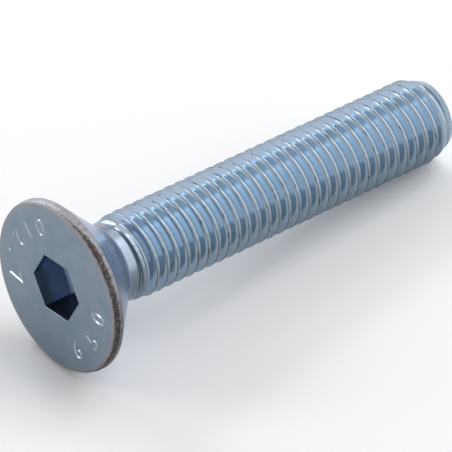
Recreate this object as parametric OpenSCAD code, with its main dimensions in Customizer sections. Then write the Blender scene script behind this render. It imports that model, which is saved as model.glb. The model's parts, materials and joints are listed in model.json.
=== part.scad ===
// Countersunk screw with a hexagon socket, threaded up to the head.
// It lies on its side as it comes to rest: on the edge of its head and on a crest near its tip.
// The head faces -Y, the tip points to +Y, and the surface that it lies on is z = 0.

/* [Thread] */
// Diameter over the thread's crests
thread_d = 11.9; // [11.5:0.05:12]
// Diameter at the bottom of the thread's groove
root_d = 9.85; // [9.6:0.05:10.2]
// Distance along the axis from one crest to the next
pitch = 1.75; // [1.5:0.05:1.8]
// Slope of each side of the groove, measured from square to the axis
flank_angle = 30; // [27:0.5:30]
// Width of the flat along the top of the thread
crest_flat = 0.22; // [0.15:0.01:0.3]
// Share of a turn by which the thread starts late
start_turn = 0.01; // [0:0.01:1]
// Length over which the first turn of the thread rises out of the neck
run_in_l = 2.4; // [1.6:0.1:3.5]

/* [Body] */
// Whole length, from the head's face to the end of the tip
overall_l = 65; // [40:1:80]
// Diameter of the plain neck between head and thread
neck_d = 11; // [10.6:0.1:11.4]
// Length of the plain neck, measured from where the seat's cone would meet it
neck_l = 1.5; // [1:0.1:4]
// Radius of the fillet between the seat and the neck
neck_fillet_r = 0.9; // [0.3:0.1:1.4]

/* [Tip] */
// Diameter of the flat end
tip_d = 9.8; // [9.2:0.1:9.8]
// Slope of the tip's cone, measured from the axis
tip_angle = 21; // [15:1:45]

/* [Head] */
// Largest diameter of the head
head_d = 24; // [21:0.5:27]
// Included angle of the cone that seats in a countersunk hole
seat_angle = 90; // [80:1:100]
// Width across the rounded corner between face and rim
corner_w = 0.5; // [0.2:0.05:1]
// Height of that corner along the axis
corner_h = 0.95; // [0.3:0.05:1.2]
// Height of the straight rim above the corner
rim_h = 0.45; // [0.2:0.05:1]
// Radius of the worn edge between the rim and the seat
rim_back_r = 0.15; // [0.05:0.05:0.3]

/* [Socket] */
// Width of the hexagon across its flats
socket_af = 8; // [6:0.5:10]
// Depth of the hexagon's walls
socket_depth = 4.6; // [3.5:0.1:5.5]
// Included angle of the shallow cone at the socket's floor
floor_angle = 140; // [118:1:170]
// Turn of the hexagon about the screw's axis
socket_turn = -6.3; // [-30:0.1:30]

/* [Hidden] */

thread_r = thread_d / 2;
root_r = root_d / 2;
neck_r = neck_d / 2;
tip_r = tip_d / 2;
head_r = head_d / 2;
flank_slope = tan(flank_angle);
tip_slope = tan(tip_angle);
root_flat = pitch - crest_flat - 2 * (thread_r - root_r) * flank_slope;

// Heights along the axis, counted from the head's face
rim_end = corner_h + rim_h;
half_seat = seat_angle / 2;
seat_end = rim_end + (head_r - neck_r) / tan(half_seat);
neck_end = seat_end + neck_l;

// Smoothness of the round shapes: the helix has this many steps in a turn
turn_steps = 36;
round_fn = 180;
arc_steps = 6;

// The thread's body starts inside the neck, a hair thinner than the neck is
seat_skin = 0.02;
start_r = neck_r - seat_skin;
buried_l = 1;

// The outline has no point nearer than this to the neck's end, to the tip, or over a shallower groove
first_gap = 0.05;
last_gap = 0.12;
least_depth = 0.06;

// The groove is full this many times sooner than the crests are
groove_lead = 1.6;

// The floor's cone laps the hexagon's end by this much
floor_lap = 0.01;

// Radius of the crests and of the groove's floor at a height z, faded at both ends of the thread
function tip_cone_r(z) = tip_r + (overall_l - z) * tip_slope;
function run_in(z) = max(0, min(1, (z - neck_end) / run_in_l));
function crest_r(z) = min(thread_r, tip_cone_r(z), start_r + (thread_r - start_r) * run_in(z));
function floor_r(z) = min(tip_cone_r(z), root_r + (start_r - root_r) * max(0, 1 - groove_lead * run_in(z)));

// Height of the middle of crest k at an angle round the axis
function crest_z(k, angle) = pitch * (k + start_turn + angle / 360);

// Half widths of the crest and of the groove's floor, which widen where the thread is cut low
function crest_half(z) = crest_flat / 2 + (thread_r - crest_r(z)) * flank_slope;
function floor_half(z) = root_flat / 2 + (floor_r(z) - root_r) * flank_slope;

// The thread's outline at one angle, as [radius, height] from the neck to the tip
function outline(angle) =
    let (first = floor(neck_end / pitch) - 2, last = ceil(overall_l / pitch) + 1)
    concat(
        [[start_r, neck_end - buried_l], [start_r, neck_end + first_gap]],
        [for (k = [first:last], part = [0:3])
            let (crest = crest_z(k, angle), groove = crest + pitch / 2)
            let (deep = crest_r(groove) - floor_r(groove) > least_depth)
            let (z = part < 2 ? crest + (2 * part - 1) * crest_half(crest)
                              : groove + (2 * part - 5) * floor_half(groove))
            if (z > neck_end + last_gap && z < overall_l - last_gap && (part < 2 || deep))
                [part < 2 ? crest_r(z) : floor_r(z), z]],
        [[tip_r, overall_l]]);

function place(p, angle) = [p[0] * cos(angle), p[0] * sin(angle), p[1]];

// Triangles between two neighbouring outlines a and b, whose points start at ia and ib in the list
function strip(a, b, ia, ib) = [
    for (i = 0, j = 0, up_a = a[1][1] <= b[1][1];
         i < len(a) - 1 || j < len(b) - 1;
         i2 = up_a ? i + 1 : i, j2 = up_a ? j : j + 1, i = i2, j = j2,
         up_a = j >= len(b) - 1 || (i < len(a) - 1 && a[i + 1][1] <= b[j + 1][1]))
        up_a ? [ia + i, ia + i + 1, ib + j] : [ia + i, ib + j + 1, ib + j]];

function sums(v) = [for (i = 0, s = 0; i < len(v); s = s + v[i], i = i + 1) s];

module threaded_body() {
    angles = [for (i = [0:turn_steps - 1]) 360 * i / turn_steps];
    outlines = [for (angle = angles) outline(angle)];
    starts = sums([for (o = outlines) len(o)]);
    points = [for (i = [0:turn_steps - 1], p = outlines[i]) place(p, angles[i])];
    walls = [for (i = [0:turn_steps - 1], f = strip(outlines[i], outlines[(i + 1) % turn_steps],
                                                   starts[i], starts[(i + 1) % turn_steps])) f];
    head_end = [for (s = starts) s];
    tip_end = [for (i = [turn_steps - 1:-1:0]) starts[i] + len(outlines[i]) - 1];
    polyhedron(points, concat(walls, [head_end, tip_end]), convexity = 10);
}

// Points of an arc about [r, z] with half axes a along the radius and b along the height
function arc(r, z, a, b, from, to) = [
    for (i = [0:arc_steps]) let (t = from + (to - from) * i / arc_steps) [r + a * cos(t), z + b * sin(t)]];

module head_and_neck() {
    turn = 90 - half_seat;
    back_cut = rim_back_r * tan(turn / 2);
    fillet_cut = neck_fillet_r * tan(turn / 2);
    rotate_extrude($fn = round_fn)
        polygon(concat(
            [[0, 0]],
            arc(head_r - corner_w, corner_h, corner_w, corner_h, -90, 0),
            arc(head_r - rim_back_r, rim_end - back_cut, rim_back_r, rim_back_r, 0, turn),
            arc(neck_r + neck_fillet_r, seat_end + fillet_cut, neck_fillet_r, neck_fillet_r, 180 + turn, 180),
            [[neck_r, neck_end], [0, neck_end]]));
}

module socket() {
    across_corners = socket_af / cos(30);
    floor_h = socket_af / 2 / tan(floor_angle / 2);
    mouth = 1;
    rotate([0, 0, socket_turn]) translate([0, 0, -mouth])
        cylinder(d = across_corners, h = socket_depth + mouth, $fn = 6);
    translate([0, 0, socket_depth - floor_lap])
        cylinder(r1 = socket_af / 2, r2 = 0, h = floor_h, $fn = round_fn);
}

// The screw along its own axis, with the centre of its face at the origin and its tip at +Z
module upright_screw() {
    difference() {
        union() {
            head_and_neck();
            threaded_body();
        }
        socket();
    }
}

// It rests on the rim's lower edge and on the last crest of full height on its underside
under = 90;
rim_rest_z = rim_end - rim_back_r * tan((90 - half_seat) / 2);
last_full_z = overall_l - (thread_r - tip_r) / tip_slope - crest_flat / 2;
last_crest = floor((last_full_z - crest_z(0, under)) / pitch);
tip_rest_z = crest_z(last_crest, under) + crest_flat / 2;
tilt = atan((head_r - thread_r) / (tip_rest_z - rim_rest_z));
lift = head_r * cos(tilt) + rim_rest_z * sin(tilt);

// The origin is on the surface below the middle of the screw's box
face_reach = (head_r - corner_w) * sin(tilt);
tip_reach = overall_l * cos(tilt) + tip_r * sin(tilt);
mid_y = (tip_reach - face_reach) / 2;

module screw() {
    color("lightsteelblue")
        translate([0, -mid_y, lift])
            rotate([-90 - tilt, 0, 0])
                upright_screw();
}

screw();
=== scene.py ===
import json
import math

import bmesh
import bpy
from mathutils import Matrix, Vector


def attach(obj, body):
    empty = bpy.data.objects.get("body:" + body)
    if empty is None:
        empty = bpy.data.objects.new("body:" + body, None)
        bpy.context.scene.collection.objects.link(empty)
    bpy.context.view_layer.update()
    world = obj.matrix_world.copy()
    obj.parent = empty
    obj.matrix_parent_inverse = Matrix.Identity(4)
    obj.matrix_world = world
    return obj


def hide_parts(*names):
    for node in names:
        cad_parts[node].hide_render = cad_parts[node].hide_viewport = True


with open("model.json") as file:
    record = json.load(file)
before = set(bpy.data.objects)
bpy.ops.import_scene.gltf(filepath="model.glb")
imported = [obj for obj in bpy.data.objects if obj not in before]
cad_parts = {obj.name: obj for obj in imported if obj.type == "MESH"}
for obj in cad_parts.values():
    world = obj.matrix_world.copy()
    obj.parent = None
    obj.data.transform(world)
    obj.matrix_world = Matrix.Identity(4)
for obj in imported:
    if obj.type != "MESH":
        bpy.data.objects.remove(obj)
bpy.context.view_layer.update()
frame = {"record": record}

# The camera: a long lens in front of the head, to its right and well above it, and level.
view_azimuth = math.radians(49.671)
view_elevation = math.radians(41.849)
view_distance = 0.80153
view_lens = 482.56
aim = Vector((0, -0.003146, 0.006163))
towards_camera = Vector((math.sin(view_azimuth) * math.cos(view_elevation),
                         -math.cos(view_azimuth) * math.cos(view_elevation),
                         math.sin(view_elevation)))
camera_data = bpy.data.cameras.new("camera")
camera_data.lens = view_lens
camera_data.sensor_width = 36
camera_data.clip_end = 100
camera = bpy.data.objects.new("camera", camera_data)
camera.location = aim + towards_camera * view_distance
camera.rotation_euler = (-towards_camera).to_track_quat("-Z", "Y").to_euler()
bpy.context.scene.collection.objects.link(camera)
bpy.context.scene.camera = camera

# The screw is one piece of steel that lies on the edge of its head. Its socket mount gives the middle of
# the face and the way out of the socket, so the tip lies the other way. It is made upright, in
# millimetres, with the face at z = 0 and the tip at +Z, and this matrix then lays it down.
mm = 0.001
socket_mount = next(m for m in frame["record"]["mounts"] if m["name"] == "socket")
face_middle = Vector(socket_mount["pos_m"])
to_tip = -Vector(socket_mount["axis"]).normalized()
across = Vector((1, 0, 0))
under = to_tip.cross(across)
turned = Matrix((across, under, to_tip)).transposed().to_4x4()
laid_down = Matrix.Translation(face_middle) @ turned @ Matrix.Scale(mm, 4)

# The shank: steel wire whose thread is rolled between flat dies, so the crests are a little rounded and
# the groove is smooth. It starts out of the plain neck and its last turns fade on the tip's cone.
thread_d = 11.9
root_d = 9.85
pitch = 1.75
flank_angle = math.radians(30)
crest_flat = 0.22
crest_round = 0.06
root_round = 0.16
start_turn = 0.01
run_in_l = 2.4
groove_lead = 1.6
overall_l = 65
neck_d = 11
neck_end = 9.4
tip_d = 9.8
tip_slope = math.tan(math.radians(21))
turn_steps = 96
same_point = 1e-4
hair = 0.01

thread_r = thread_d / 2
root_r = root_d / 2
neck_r = neck_d / 2
flank_l = (thread_r - root_r) * math.tan(flank_angle)


def envelope(z):
    """Lowest and highest radius of the thread at a height. Both fade into the neck and into the tip's
    cone, and the groove is full groove_lead times sooner than the crests are."""
    cone = tip_d / 2 + (overall_l - z) * tip_slope
    risen = min(max((z - neck_end) / run_in_l, 0), 1)
    lowest = root_r + (neck_r - root_r) * max(0, 1 - groove_lead * risen)
    highest = neck_r + (thread_r - neck_r) * risen
    return min(lowest, cone), min(highest, cone)


bm = bmesh.new()
first_crest = pitch * (math.floor(neck_end / pitch) - 2 + start_turn)
turns = math.ceil((overall_l - first_crest) / pitch) + 1
half_crest = crest_flat / 2
outline = [
    (thread_r, 0),
    (thread_r, half_crest),
    (root_r, half_crest + flank_l),
    (root_r, pitch - half_crest - flank_l),
    (thread_r, pitch - half_crest),
    (thread_r, pitch),
]
points = [bm.verts.new((r, 0, first_crest + z)) for r, z in outline]
for low, high in zip(points, points[1:]):
    bm.edges.new((low, high))
bmesh.ops.bevel(bm, geom=[points[1], points[4]], offset=crest_round, offset_type="OFFSET", segments=3,
                profile=0.5, affect="VERTICES", material=-1)
bmesh.ops.bevel(bm, geom=[points[2], points[3]], offset=root_round, offset_type="OFFSET", segments=3,
                profile=0.5, affect="VERTICES", material=-1)
bmesh.ops.subdivide_edges(bm, edges=[e for e in bm.edges if e.calc_length() > flank_l], cuts=2)
bmesh.ops.spin(bm, geom=bm.verts[:] + bm.edges[:], cent=(0, 0, 0), axis=(0, 0, 1),
               dvec=(0, 0, pitch / turn_steps), angle=math.tau, steps=turn_steps)
one_turn = bm.verts[:] + bm.edges[:] + bm.faces[:]
for number in range(1, turns):
    copied = bmesh.ops.duplicate(bm, geom=one_turn)["geom"]
    bmesh.ops.translate(bm, verts=[g for g in copied if isinstance(g, bmesh.types.BMVert)],
                        vec=(0, 0, pitch * number))
bmesh.ops.remove_doubles(bm, verts=bm.verts, dist=same_point)
bmesh.ops.bisect_plane(bm, geom=bm.verts[:] + bm.edges[:] + bm.faces[:], plane_co=(0, 0, neck_end),
                       plane_no=(0, 0, 1), clear_inner=True)
bmesh.ops.bisect_plane(bm, geom=bm.verts[:] + bm.edges[:] + bm.faces[:], plane_co=(0, 0, overall_l),
                       plane_no=(0, 0, 1), clear_outer=True)
for v in bm.verts:
    lowest, highest = envelope(v.co.z)
    r = math.hypot(v.co.x, v.co.y)
    kept = min(max(r, lowest), highest)
    v.co.x *= kept / r
    v.co.y *= kept / r
tip_rim = [e for e in bm.edges if e.is_boundary and e.verts[0].co.z > overall_l - hair]
bmesh.ops.edgeloop_fill(bm, edges=tip_rim)

# The head: forged in one blow from the same wire. The face is flat, its edge is rounded and rough from
# the die, and a 90 degree cone seats in a countersunk hole. A small fillet leads to the plain neck.
head_d = 24
seat_slope = math.radians(45)
corner_w = 0.5
corner_h = 0.95
rim_h = 0.45
rim_back_r = 0.15
neck_fillet_r = 0.9
neck_gap = 0.3
flat_edge = 0.2
head_steps = 192

head_r = head_d / 2
rim_end = corner_h + rim_h
seat_end = rim_end + head_r - neck_r


def arc(r, z, half_r, half_z, start, end, parts):
    """Points of an arc about (r, z), as radius and height. Its angles are in degrees."""
    angles = [math.radians(start + (end - start) * i / parts) for i in range(parts + 1)]
    return [(r + half_r * math.cos(t), z + half_z * math.sin(t)) for t in angles]


back_cut = rim_back_r * math.tan(seat_slope / 2)
fillet_cut = neck_fillet_r * math.tan(seat_slope / 2)
outline = (
    [(head_r - corner_w - flat_edge, 0)]
    + arc(head_r - corner_w, corner_h, corner_w, corner_h, -90, 0, 10)
    + arc(head_r - rim_back_r, rim_end - back_cut, rim_back_r, rim_back_r, 0, 45, 3)
    + arc(neck_r + neck_fillet_r, seat_end + fillet_cut, neck_fillet_r, neck_fillet_r, 225, 180, 6)
    + [(neck_r, neck_end - neck_gap)]
)
points = [bm.verts.new((r, 0, z)) for r, z in outline]
profile = [bm.edges.new(pair) for pair in zip(points, points[1:])]
bmesh.ops.spin(bm, geom=points + profile, cent=(0, 0, 0), axis=(0, 0, 1), angle=math.tau,
               steps=head_steps, use_merge=True)
neck_rim = [e for e in bm.edges if e.is_boundary and min(v.co.z for v in e.verts) > seat_end]
bmesh.ops.bridge_loops(bm, edges=neck_rim)
face_rim = [e for e in bm.edges if e.is_boundary]

# The socket: a hexagon punched into the head, with a hardly rounded mouth and a floor that the punch's
# blunt cone leaves inside the walls.
socket_af = 8
socket_depth = 4.6
socket_turn = math.radians(-6.3)
floor_r = 3.98
floor_steps = 48
floor_angle = math.radians(140)
mouth_round = 0.1
mouth_flat = 0.1


def loop_at(segments, r, z):
    """A wire loop round the screw's axis, with its edges."""
    made = bmesh.ops.create_circle(bm, segments=segments, radius=r)["verts"]
    bmesh.ops.rotate(bm, verts=made, matrix=Matrix.Rotation(socket_turn - math.radians(90), 3, "Z"))
    bmesh.ops.translate(bm, verts=made, vec=(0, 0, z))
    return list({e for v in made for e in v.link_edges})


mouth_curve = arc(socket_af / 2 + mouth_round, mouth_round, mouth_round, mouth_round, 270, 180, 3)
levels = [(socket_af / 2 + mouth_round + mouth_flat, 0), *mouth_curve, (socket_af / 2, socket_depth)]
hexagons = [loop_at(6, half_af / math.cos(math.radians(30)), z) for half_af, z in levels]
for outer, inner in zip(hexagons, hexagons[1:]):
    bmesh.ops.bridge_loops(bm, edges=outer + inner)
floor_edge = loop_at(floor_steps, floor_r, socket_depth)
bmesh.ops.triangle_fill(bm, edges=hexagons[-1] + floor_edge, use_beauty=True, normal=(0, 0, -1))
floor_face = bmesh.ops.edgeloop_fill(bm, edges=floor_edge)["faces"]
middle = bmesh.ops.poke(bm, faces=floor_face)["verts"]
bmesh.ops.translate(bm, verts=middle, vec=(0, 0, floor_r / math.tan(floor_angle / 2)))

# The marks: plain numbers that stand for nothing, one along the upper left and one along the lower right.
# The die presses them into the face as it forges the head, so their grooves have sloping sides.
mark_h = 3.6
mark_bold = 0.05
mark_middle_r = 8.5
mark_foot_r = mark_middle_r + 0.35 * mark_h
mark_merge = 0.03
groove_slope = 0.16
groove_depth = 0.15
marks = [("0", -118), ("1", -138), ("2", -157), (".", -178), ("7", 159), ("6", 54), ("5", 25), ("0", -4)]


def mark_edges(character, angle):
    """Press one character into the face's plane, its foot towards the rim, and return its outline."""
    curve = bpy.data.curves.new("mark", "FONT")
    curve.body = character
    curve.size = mark_h
    curve.align_x = "CENTER"
    curve.offset = mark_bold
    curve.resolution_u = 3
    carrier = bpy.data.objects.new("mark", curve)
    flat = bpy.data.meshes.new_from_object(carrier)
    turn = Matrix.Rotation(math.radians(angle), 4, "Z")
    foot = Matrix.Translation((mark_foot_r, 0, 0))
    upright = Matrix.Rotation(math.radians(90), 4, "Z")
    seen_from_below = Matrix.Scale(-1, 4, (1, 0, 0))
    flat.transform(turn @ foot @ upright @ seen_from_below)
    known = set(bm.faces)
    bm.from_mesh(flat)
    pressed = [f for f in bm.faces if f not in known]
    bmesh.ops.remove_doubles(bm, verts=list({v for f in pressed for v in f.verts}), dist=mark_merge)
    pressed = [f for f in pressed if f.is_valid]
    sides = bmesh.ops.inset_region(bm, faces=pressed, thickness=groove_slope, use_boundary=True,
                                   use_even_offset=True)["faces"]
    bmesh.ops.translate(bm, verts=list({v for f in pressed for v in f.verts}), vec=(0, 0, groove_depth))
    rim = [e for f in sides for e in f.edges if e.is_boundary]
    bpy.data.objects.remove(carrier)
    bpy.data.curves.remove(curve)
    bpy.data.meshes.remove(flat)
    return rim


face_edges = face_rim + hexagons[0]
for character, angle in marks:
    face_edges += mark_edges(character, angle)
bmesh.ops.triangle_fill(bm, edges=face_edges, use_beauty=True, normal=(0, 0, -1))
bmesh.ops.dissolve_degenerate(bm, dist=same_point, edges=bm.edges)
bmesh.ops.recalc_face_normals(bm, faces=bm.faces)

# The plating: a few micrometres of zinc with a bluish film, from a bath. Forging, rolling and handling
# leave it different from place to place, so each zone has a finish of its own, in this order.
# The last zone is painted shade on the head-facing half of each crest, not a plating of its own.
FACE, RIM, SEAT, THREAD, SOCKET, MARKS, CREST_SHADE = range(7)
crest_shade_reach = 0.09
face_from_r = socket_af * 0.65
socket_to_r = socket_af * 0.6
socket_to_z = socket_depth + 2
pressed_from_z = 0.001
sharp_angle = math.radians(32)

for f in bm.faces:
    middle = f.calc_center_median()
    r = math.hypot(middle.x, middle.y)
    if middle.z > neck_end:
        turns_up = (middle.z - first_crest) / pitch - math.atan2(middle.y, middle.x) / math.tau
        # Painted shade: the outer part of each crest's head-facing half gets the dark finish.
        on_crest_shade = turns_up % 1 > 0.5 and r > thread_r - crest_shade_reach
        f.material_index = CREST_SHADE if on_crest_shade else THREAD
    elif r > head_r - corner_w and middle.z < rim_end:
        f.material_index = RIM
    elif r > face_from_r and middle.z < groove_depth + hair:
        f.material_index = MARKS if middle.z > pressed_from_z else FACE
    elif r < socket_to_r and middle.z < socket_to_z:
        f.material_index = SOCKET
    else:
        f.material_index = SEAT
    f.smooth = f.material_index != FACE

mesh = bpy.data.meshes.new("screw")
bm.transform(laid_down)
bm.to_mesh(mesh)
bm.free()
mesh.set_sharp_from_angle(angle=sharp_angle)
screw = bpy.data.objects.new("plated_screw", mesh)
bpy.context.scene.collection.objects.link(screw)


# Shader maths. A Value is a number that varies over a surface; sums and products of them add Math nodes.
class Value:
    def __init__(self, finish, socket):
        self.finish = finish
        self.socket = socket

    def maths(self, operation, first, second):
        return self.finish.value("ShaderNodeMath", {"operation": operation}, {0: first, 1: second})

    def __add__(self, other):
        return self.maths("ADD", self, other)

    def __radd__(self, other):
        return self.maths("ADD", other, self)

    def __sub__(self, other):
        return self.maths("SUBTRACT", self, other)

    def __rsub__(self, other):
        return self.maths("SUBTRACT", other, self)

    def __mul__(self, other):
        return self.maths("MULTIPLY", self, other)

    def __rmul__(self, other):
        return self.maths("MULTIPLY", other, self)


# A finish is one material. node() adds any node: its settings first, then the values or links of its
# inputs.
class Finish:
    def __init__(self, name):
        self.material = bpy.data.materials.new(name)
        self.material.use_nodes = True
        self.tree = self.material.node_tree
        self.surface = self.tree.nodes["Principled BSDF"]

    def node(self, kind, settings, inputs):
        made = self.tree.nodes.new(kind)
        for name, setting in settings.items():
            setattr(made, name, setting)
        for name, given in inputs.items():
            self.feed(made.inputs[name], given)
        return made

    def feed(self, socket, given):
        if isinstance(given, Value):
            given = given.socket
        if isinstance(given, bpy.types.NodeSocket):
            self.tree.links.new(given, socket)
        else:
            socket.default_value = given

    def value(self, kind, settings, inputs, output=0):
        return Value(self, self.node(kind, settings, inputs).outputs[output])

    def place(self):
        """Object coordinates turned back to the upright screw, in millimetres from the face's middle."""
        seen = self.node("ShaderNodeTexCoord", {}, {}).outputs["Object"]
        back = laid_down.inverted()
        return self.node("ShaderNodeMapping", {"vector_type": "POINT"}, {
            "Vector": seen,
            "Location": back.to_translation(),
            "Rotation": back.to_euler(),
            "Scale": (1 / mm, 1 / mm, 1 / mm),
        }).outputs[0]

    def radius(self, place):
        """Distance from the screw's axis, in millimetres."""
        flat = self.node("ShaderNodeVectorMath", {"operation": "MULTIPLY"},
                         {0: place, 1: (1, 1, 0)}).outputs[0]
        return self.value("ShaderNodeVectorMath", {"operation": "LENGTH"}, {0: flat}, output="Value")

    def height(self, place):
        """Distance from the face along the axis, in millimetres."""
        return self.value("ShaderNodeSeparateXYZ", {}, {0: place}, output="Z")

    def along(self, place, direction):
        """Distance from the axis in one direction, in millimetres."""
        return self.value("ShaderNodeVectorMath", {"operation": "DOT_PRODUCT"}, {0: place, 1: direction},
                          output="Value")

    def noise(self, place, scale, detail=2.0, roughness=0.5):
        """Soft random spots, scale of them to a millimetre."""
        return self.value("ShaderNodeTexNoise", {}, {
            "Vector": place, "Scale": scale, "Detail": detail, "Roughness": roughness})

    def step(self, value, low, high):
        """0 below low, 1 above high, and smooth between them."""
        return self.value("ShaderNodeMapRange", {"interpolation_type": "SMOOTHSTEP"}, {
            "Value": value, "From Min": low, "From Max": high})

    def mix(self, share, first, second):
        made = self.node("ShaderNodeMix", {"data_type": "RGBA"}, {"Factor": share})
        self.feed(made.inputs[6], first if not isinstance(first, tuple) else (*first, 1))
        self.feed(made.inputs[7], second if not isinstance(second, tuple) else (*second, 1))
        return made.outputs[2]

    def cloudy(self, cloud, first, second):
        """A colour that drifts softly into another."""
        return self.mix(self.step(cloud, 0.3, 0.7), first, second)

    def bump(self, height, strength, distance):
        return self.node("ShaderNodeBump", {}, {
            "Height": height, "Strength": strength, "Distance": distance}).outputs[0]

    def wear(self, **inputs):
        """Set or link the shader's own inputs, and return the material."""
        for name, given in inputs.items():
            if isinstance(given, tuple):
                given = (*given, 1)
            self.feed(self.surface.inputs[name.replace("_", " ")], given)
        return self.material


def face_finish():
    """The die leaves the face matt, and the plating on it is grey-blue and faintly cloudy."""
    paint = Finish("zinc_face")
    place = paint.place()
    cloud = paint.noise(place, 0.35, detail=3)
    grain = paint.noise(place, 5, detail=3)
    edge = paint.step(paint.radius(place), head_r - 1.1, head_r - 0.5)
    grey_blue = (0.2, 0.26, 0.315)
    paler_blue = (0.24, 0.285, 0.35)
    warm_grey = (0.33, 0.3, 0.31)
    colour = paint.mix(0.35 * edge, paint.cloudy(cloud, grey_blue, paler_blue), warm_grey)
    return paint.wear(Base_Color=colour, Metallic=1.0, Roughness=0.36 + 0.1 * grain,
                      Normal=paint.bump(grain, 0.12, 0.04 * mm))


def rim_finish():
    """The edge keeps brown scale in front, darkened there as painted shade. Its back half and its upper
    left side are rubbed paler, and lightened there as a painted highlight.
    """
    paint = Finish("zinc_rim")
    place = paint.place()
    z = paint.height(place)
    speck = paint.noise(place, 1.9, detail=4, roughness=0.65)
    ragged = z + 0.3 * (paint.noise(place, 1.1, detail=3) - 0.5)
    upper_left = (-0.4, -0.92, 0)
    # Painted highlight, with some real wear: the upper left side and the back are made paler.
    rubbed_and_lit_side = paint.step(paint.along(place, upper_left), 6.5, 11.5)
    back = paint.step(ragged + 0.75 * rubbed_and_lit_side, 0.78, 0.98)
    front = paint.step(ragged, 0.06, 0.2)
    scaly = paint.step(speck, 0.45, 0.68)
    clean = paint.step(speck, 0.3, 0.52)
    face_edge = (0.26, 0.25, 0.265)
    # The brown scale is real; how dark it is in front is partly painted shade.
    scale = paint.mix(scaly, (0.05, 0.045, 0.045), (0.145, 0.13, 0.125))
    rubbed = paint.mix(clean, (0.085, 0.082, 0.085), (0.175, 0.182, 0.203))
    bare_and_lit = paint.mix(clean, (0.12, 0.117, 0.122), (0.21, 0.21, 0.225))
    colour = paint.mix(front, face_edge, scale)
    colour = paint.mix(back, colour, paint.mix(rubbed_and_lit_side, rubbed, bare_and_lit))
    return paint.wear(Base_Color=colour, Metallic=1.0, Roughness=0.48,
                      Normal=paint.bump(speck, 0.5, 0.1 * mm))


def seat_finish():
    """The cone has a violet-blue film, rubbed off along the rim. The neck is greyer and duller."""
    paint = Finish("zinc_seat")
    place = paint.place()
    z = paint.height(place)
    cloud = paint.noise(place, 0.5)
    speck = paint.noise(place, 1.9, detail=4, roughness=0.65)
    off_edge = paint.step(z + 0.5 * (speck - 0.5), rim_end + 0.25, rim_end + 0.45)
    on_neck = paint.step(z, seat_end - 0.3, seat_end + 0.5)
    worn_edge = (0.22, 0.225, 0.25)
    cone = paint.cloudy(cloud, (0.24, 0.32, 0.46), (0.28, 0.345, 0.5))
    neck = paint.cloudy(cloud, (0.17, 0.205, 0.25), (0.19, 0.22, 0.275))
    colour = paint.mix(on_neck, paint.mix(off_edge, worn_edge, cone), neck)
    return paint.wear(Base_Color=colour, Metallic=1.0, Roughness=0.25)


def thread_finish():
    """The flanks are smooth and blue. The crests are rubbed grey, and a thin dark line along their
    shoulders is painted shade."""
    paint = Finish("zinc_thread")
    place = paint.place()
    r = paint.radius(place)
    nicks = paint.noise(place, 0.9, detail=1)
    ragged = r + 0.03 * (nicks - 0.5)
    shoulder = paint.step(ragged, thread_r - 0.07, thread_r - 0.045)
    crest = paint.step(ragged, thread_r - 0.03, thread_r - 0.01)
    cloud = paint.noise(place, 0.4)
    risen = paint.step(paint.height(place), neck_end + 0.9, neck_end + run_in_l)
    run_in = (0.21, 0.25, 0.305)
    # Painted shade: this dark colour lines the crests' shoulders.
    film = (0.1, 0.138, 0.178)
    rubbed_grey = (0.21, 0.226, 0.265)
    nicked_grey = (0.1, 0.107, 0.125)
    flank = paint.mix(risen, run_in, paint.cloudy(cloud, (0.29, 0.378, 0.458), (0.308, 0.39, 0.478)))
    rubbed = paint.mix(paint.step(nicks, 0.59, 0.68), rubbed_grey, nicked_grey)
    colour = paint.mix(crest, paint.mix(shoulder, flank, film), rubbed)
    return paint.wear(Base_Color=colour, Metallic=1.0, Roughness=0.17 + 0.18 * shoulder)


def crest_shade_finish():
    """The half of each crest that faces the head is painted dark, as painted shade, with real nicks in it.
    """
    paint = Finish("zinc_crest_shade")
    nicks = paint.noise(paint.place(), 0.9, detail=1)
    painted_dark_shade = (0.13, 0.165, 0.202)
    nicked_dark_shade = (0.055, 0.065, 0.08)
    colour = paint.mix(paint.step(nicks, 0.56, 0.66), painted_dark_shade, nicked_dark_shade)
    return paint.wear(Base_Color=colour, Metallic=1.0, Roughness=0.33)


def socket_finish():
    """The walls of the socket are bluer than the face. One wall, the lower one, is painted nearly black as
    painted shade.
    """
    paint = Finish("zinc_socket")
    place = paint.place()
    lower_wall = (0.11, 0.994, 0)
    wall_r = socket_af / 2
    inside = paint.step(paint.height(place), 0.1, 0.6)
    # Painted shade: inside the mouth, the lower wall is darkened to nearly black.
    painted_shade_wall = paint.step(paint.along(place, lower_wall), wall_r - 0.07, wall_r - 0.02)
    mouth_blue = (0.2, 0.25, 0.32)
    wall_blue = (0.31, 0.37, 0.475)
    painted_shade_black = (0.09, 0.105, 0.13)
    colour = paint.mix(painted_shade_wall * inside, paint.mix(inside, mouth_blue, wall_blue), painted_shade_black)
    return paint.wear(Base_Color=colour, Metallic=1.0, Roughness=0.26)


def marks_finish():
    """The marks are pressed smoother than the face round them. Their colour is painted paler than
    the face's, as a painted highlight.
    """
    paint = Finish("zinc_marks")
    # Painted highlight: this colour is paler than the face's.
    return paint.wear(Base_Color=(0.34, 0.38, 0.44), Metallic=1.0, Roughness=0.3)


for finish in (face_finish, rim_finish, seat_finish, thread_finish, socket_finish, marks_finish,
               crest_shade_finish):
    mesh.materials.append(finish())

# The dressed screw stands for the plain solid, in the same place and in the same steel.
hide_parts("screw")
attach(screw, "root")

# The floor is a plain white sheet, which keeps the screw's soft shadow. It ends just inside the ring of
# lamps, so that from low down the white room shows behind it.
floor_size = 2
sheet_white = (0.96, 0.96, 0.96)
bm = bmesh.new()
bmesh.ops.create_grid(bm, x_segments=1, y_segments=1, size=floor_size / 2)
mesh = bpy.data.meshes.new("floor")
bm.to_mesh(mesh)
bm.free()
floor = bpy.data.objects.new("floor", mesh)
bpy.context.scene.collection.objects.link(floor)
paint = Finish("white_sheet")
mesh.materials.append(paint.wear(Base_Color=sheet_white, Roughness=0.9, Specular_IOR_Level=0.0))


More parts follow.
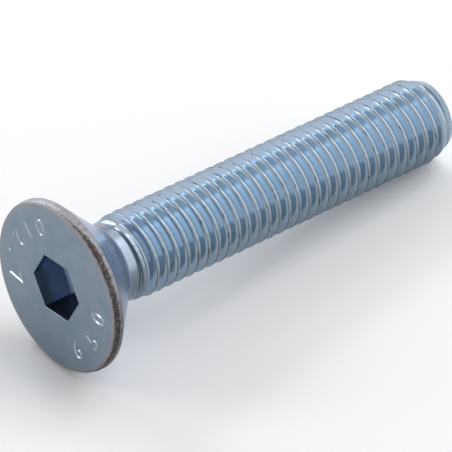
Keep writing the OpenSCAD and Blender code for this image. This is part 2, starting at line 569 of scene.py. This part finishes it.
# The lamps: a big soft box on the right in five strips, brightest overhead, and a dimmer one in two strips
# beyond the top. A small lamp stands next to it, then a lilac-white box low on the left, and a faint one as
# low that reaches round to the front. A narrow box shines from the front on the upper left.
def softbox(name, low, high, reach, spread, brightness, shade=(1, 1, 1)):
    """A soft lamp far from the screw that shines on it. low and high are its edges' angles round the
    screw's length, from level on the right over the top; reach is how far it leans towards the tip and
    spread its angle along the screw. brightness is what a mirror shows of it, on top of the room's 1."""
    away = 1.2
    ring = math.radians((low + high) / 2)
    lean = math.radians(reach)
    along = Vector((-math.cos(ring) * math.sin(lean), math.cos(lean), -math.sin(ring) * math.sin(lean)))
    round_it = Vector((-math.sin(ring), 0, math.cos(ring)))
    out = along.cross(round_it)
    width = 2 * away * math.tan(math.radians(spread / 2))
    height = 2 * away * math.cos(lean) * math.tan(math.radians((high - low) / 2))
    lamp = bpy.data.lights.new(name, "AREA")
    lamp.shape = "RECTANGLE"
    lamp.size = width
    lamp.size_y = height
    lamp.energy = brightness * math.pi * width * height
    lamp.color = shade
    made = bpy.data.objects.new(name, lamp)
    turned_in = Matrix((along, round_it, out)).transposed().to_4x4()
    made.matrix_world = Matrix.Translation(out * away) @ turned_in
    bpy.context.scene.collection.objects.link(made)


right_box = [(0, 20, 1.35), (20, 40, 1.5), (40, 60, 1.7), (60, 80, 2.0), (80, 100, 2.8)]
for low, high, brightness in right_box:
    softbox(f"right_box_{low}", low, high, reach=32, spread=40, brightness=brightness)
top_box = [(100, 127, 0.9), (127, 137, 1.2)]
for low, high, brightness in top_box:
    softbox(f"top_box_{low}", low, high, reach=30, spread=44, brightness=brightness)
cool_white = (0.9, 1.0, 1.0)
lilac_white = (0.93, 0.91, 1.0)
faint_lilac = (0.85, 0.8, 1.0)
softbox("small_lamp", 140, 147, reach=10, spread=20, brightness=12, shade=cool_white)
softbox("left_box", 147, 192, reach=9, spread=42, brightness=3.0, shade=lilac_white)
softbox("low_left_box", 148, 190, reach=-46, spread=34, brightness=0.32, shade=faint_lilac)
softbox("front_box", 122, 146, reach=-38, spread=20, brightness=4.2)

# The room: white where the camera looks at it or the metal mirrors it, and dimmer where it only lights the
# screw.
seen_white = 1.0
room_light = 0.3
world = bpy.data.worlds.new("room")
bpy.context.scene.world = world
world.use_nodes = True
nodes = world.node_tree.nodes
links = world.node_tree.links
ray = nodes.new("ShaderNodeLightPath")
shown = ray.outputs["Is Camera Ray"]
for kind in ("Is Glossy Ray", "Is Transmission Ray"):
    either = nodes.new("ShaderNodeMath")
    either.operation = "MAXIMUM"
    links.new(shown, either.inputs[0])
    links.new(ray.outputs[kind], either.inputs[1])
    shown = either.outputs[0]
strength = nodes.new("ShaderNodeMapRange")
strength.inputs["To Min"].default_value = room_light
strength.inputs["To Max"].default_value = seen_white
links.new(shown, strength.inputs["Value"])
links.new(strength.outputs[0], nodes["Background"].inputs["Strength"])
nodes["Background"].inputs["Color"].default_value = (1, 1, 1, 1)

bpy.context.scene.view_settings.view_transform = "Standard"
